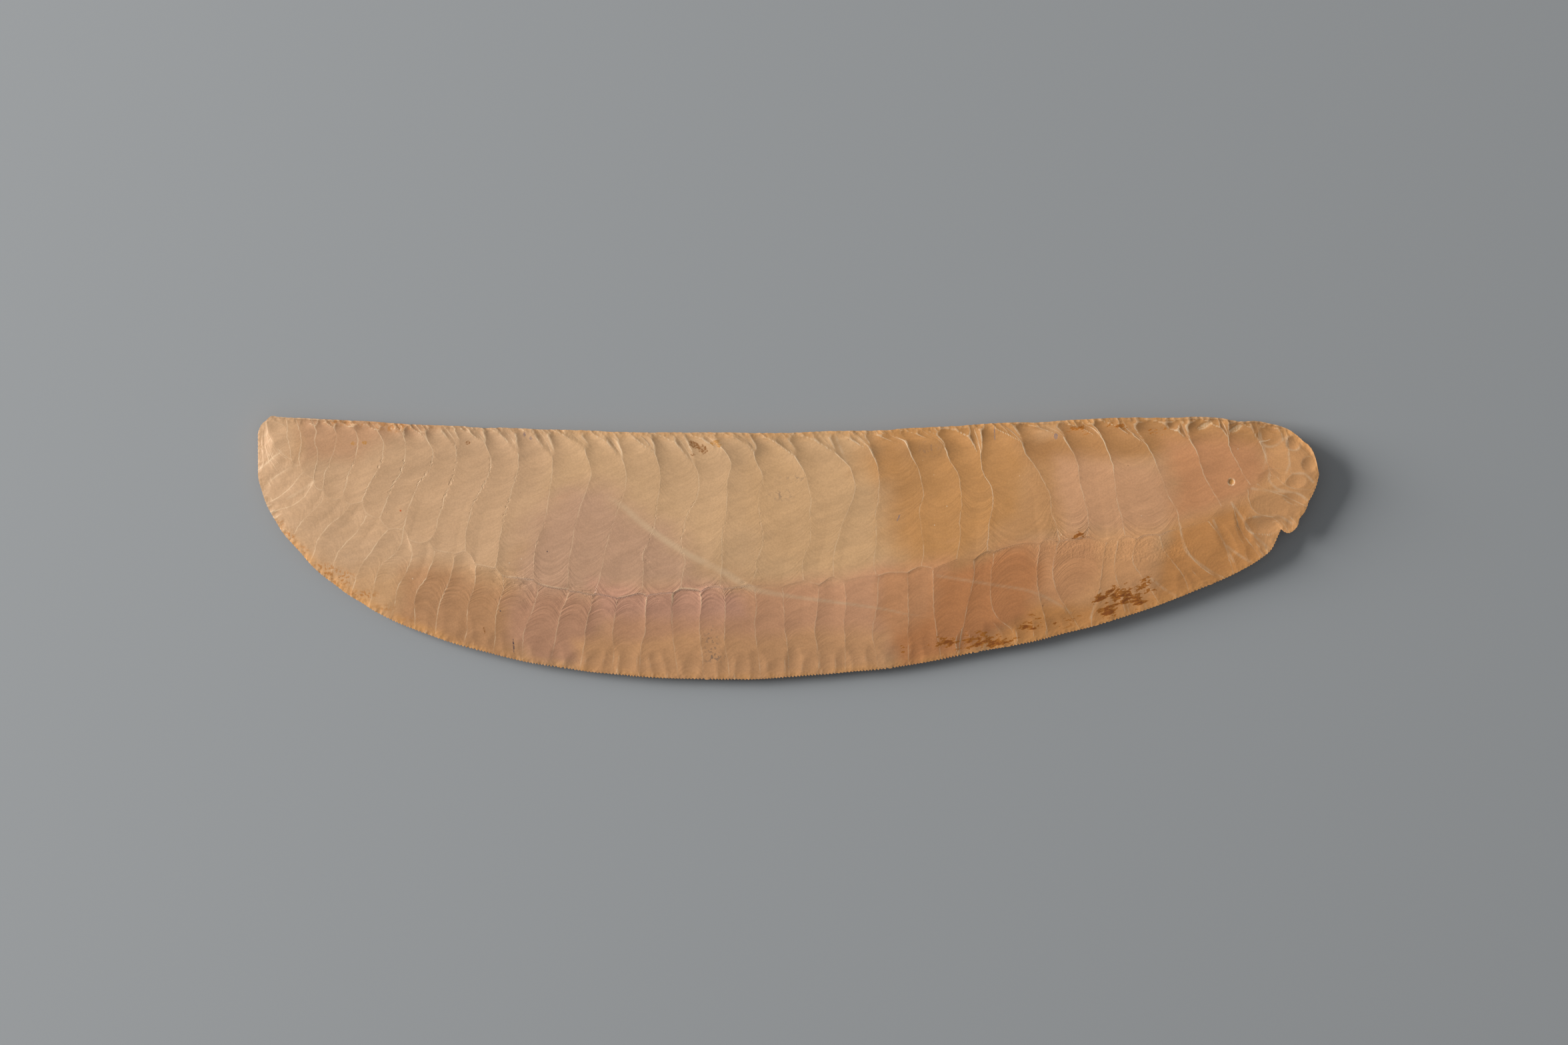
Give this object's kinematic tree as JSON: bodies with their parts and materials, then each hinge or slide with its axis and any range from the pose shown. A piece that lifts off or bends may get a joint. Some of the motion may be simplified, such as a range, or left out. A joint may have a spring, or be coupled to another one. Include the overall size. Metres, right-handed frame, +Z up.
{
  "type": "ripple-flaked flint knife",
  "caption": "Leaf-shaped knapped flint knife blade with rippling parallel flake scars, a smooth ground underside and a finely toothed convex cutting edge.",
  "frame": {"origin": "under the middle of the blade's bounding box, on the plane that the ground underside rests on", "axes": "+X along the blade from the rounded butt to the point, +Y from the toothed cutting edge to the back, +Z up out of the flaked face"},
  "size_m": [0.23, 0.0574, 0.0062],
  "materials": {
    "flint": "satin knapped flint, tan with pinkish and pale bands"
  },
  "bodies": {
    "root": {"flint_blade": "flint"}
  },
  "joints": []
}
